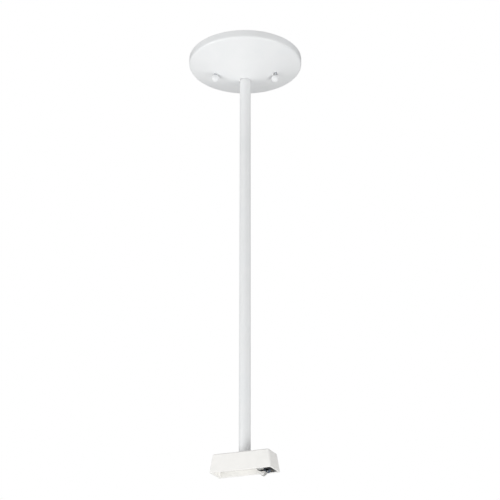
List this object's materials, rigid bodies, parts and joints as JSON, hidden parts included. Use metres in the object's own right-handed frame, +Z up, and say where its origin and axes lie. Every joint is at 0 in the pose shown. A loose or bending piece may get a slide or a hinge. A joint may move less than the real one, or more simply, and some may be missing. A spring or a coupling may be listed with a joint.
{
  "type": "track lighting pendant stem",
  "caption": "Ceiling pendant stem with a domed canopy, a straight tube and a swivelling open-bottomed track connector with spring contacts.",
  "frame": {"origin": "centre of the canopy's rim, on the ceiling plane and on the stem's axis", "axes": "+Z up along the stem, +X along the connector towards its contacts"},
  "size_m": [0.126, 0.126, 0.4796],
  "materials": {
    "white_enamel": "smooth white powder coat",
    "white_plastic": "moulded, satin",
    "zinc_steel": "bright zinc plated",
    "dark_plastic": "moulded phenolic",
    "fibre": "pressed insulating fibre",
    "bright_contact": "tin plated spring bronze",
    "blued_contact": "blued spring steel",
    "brass": "satin",
    "green_paint": "green dyed zinc",
    "black_insulation": "satin",
    "white_insulation": "satin",
    "green_insulation": "satin"
  },
  "bodies": {
    "hanger": {"box_strap": "zinc_steel", "canopy_strap": "zinc_steel", "strap_lock_washer": "zinc_steel", "strap_nut": "zinc_steel", "stem_jam_nut": "zinc_steel", "top_nipple": "zinc_steel", "wire_bushing": "white_plastic", "ground_screw": "green_paint", "canopy_stud_left": "zinc_steel", "canopy_stud_right": "zinc_steel", "stud_lock_nut_left": "zinc_steel", "stud_lock_nut_right": "zinc_steel", "stem": "white_enamel", "line_lead": "black_insulation", "neutral_lead": "white_insulation", "ground_lead": "green_insulation", "bottom_nipple": "zinc_steel", "stop_washer": "zinc_steel", "bottom_lock_nut": "zinc_steel"},
    "canopy": {"canopy": "white_enamel"},
    "ball_nut_left": {"ball_nut_left": "white_enamel"},
    "ball_nut_right": {"ball_nut_right": "white_enamel"},
    "connector": {"connector_housing": "white_plastic", "friction_washer": "fibre", "barrier_plate": "fibre", "contact_carrier": "dark_plastic", "plate_screw_live": "zinc_steel", "plate_screw_dead": "zinc_steel", "line_rivet": "brass", "neutral_rivet": "brass", "ground_rivet": "brass", "line_tail": "black_insulation", "neutral_tail": "white_insulation", "ground_tail": "green_insulation"},
    "line_contact": {"line_contact": "bright_contact"},
    "neutral_contact": {"neutral_contact": "bright_contact"},
    "ground_contact": {"ground_contact": "blued_contact"}
  },
  "joints": [
    {"name": "canopy_slide", "type": "slide", "parent": "hanger", "child": "canopy", "axis": [0, 0, -1], "range_m": [0, 0.4]},
    {"name": "ball_nut_left_turn", "type": "hinge", "parent": "canopy", "child": "ball_nut_left", "pos_m": [-0.03095, -0.01282, -0.0246], "axis": [0, 0, 1], "continuous": true},
    {"name": "ball_nut_right_turn", "type": "hinge", "parent": "canopy", "child": "ball_nut_right", "pos_m": [0.03095, 0.01282, -0.0246], "axis": [0, 0, 1], "continuous": true},
    {"name": "connector_swivel", "type": "hinge", "parent": "hanger", "child": "connector", "pos_m": [0, 0, -0.4572], "axis": [0, 0, 1], "range_deg": [-161, 161]},
    {"name": "line_contact_flex", "type": "hinge", "parent": "connector", "child": "line_contact", "pos_m": [0.0254, -0.0071, -0.47395], "axis": [0, 1, 0], "range_deg": [0, 6], "stiffness_Nm_per_rad": 0.05},
    {"name": "neutral_contact_flex", "type": "hinge", "parent": "connector", "child": "neutral_contact", "pos_m": [0.0262, 0.0069, -0.47395], "axis": [0, 1, 0], "range_deg": [0, 10], "stiffness_Nm_per_rad": 0.05},
    {"name": "ground_contact_flex", "type": "hinge", "parent": "connector", "child": "ground_contact", "pos_m": [0.0192, -0.0002, -0.47395], "axis": [0, -1, 0], "range_deg": [0, 10], "stiffness_Nm_per_rad": 0.05}
  ]
}
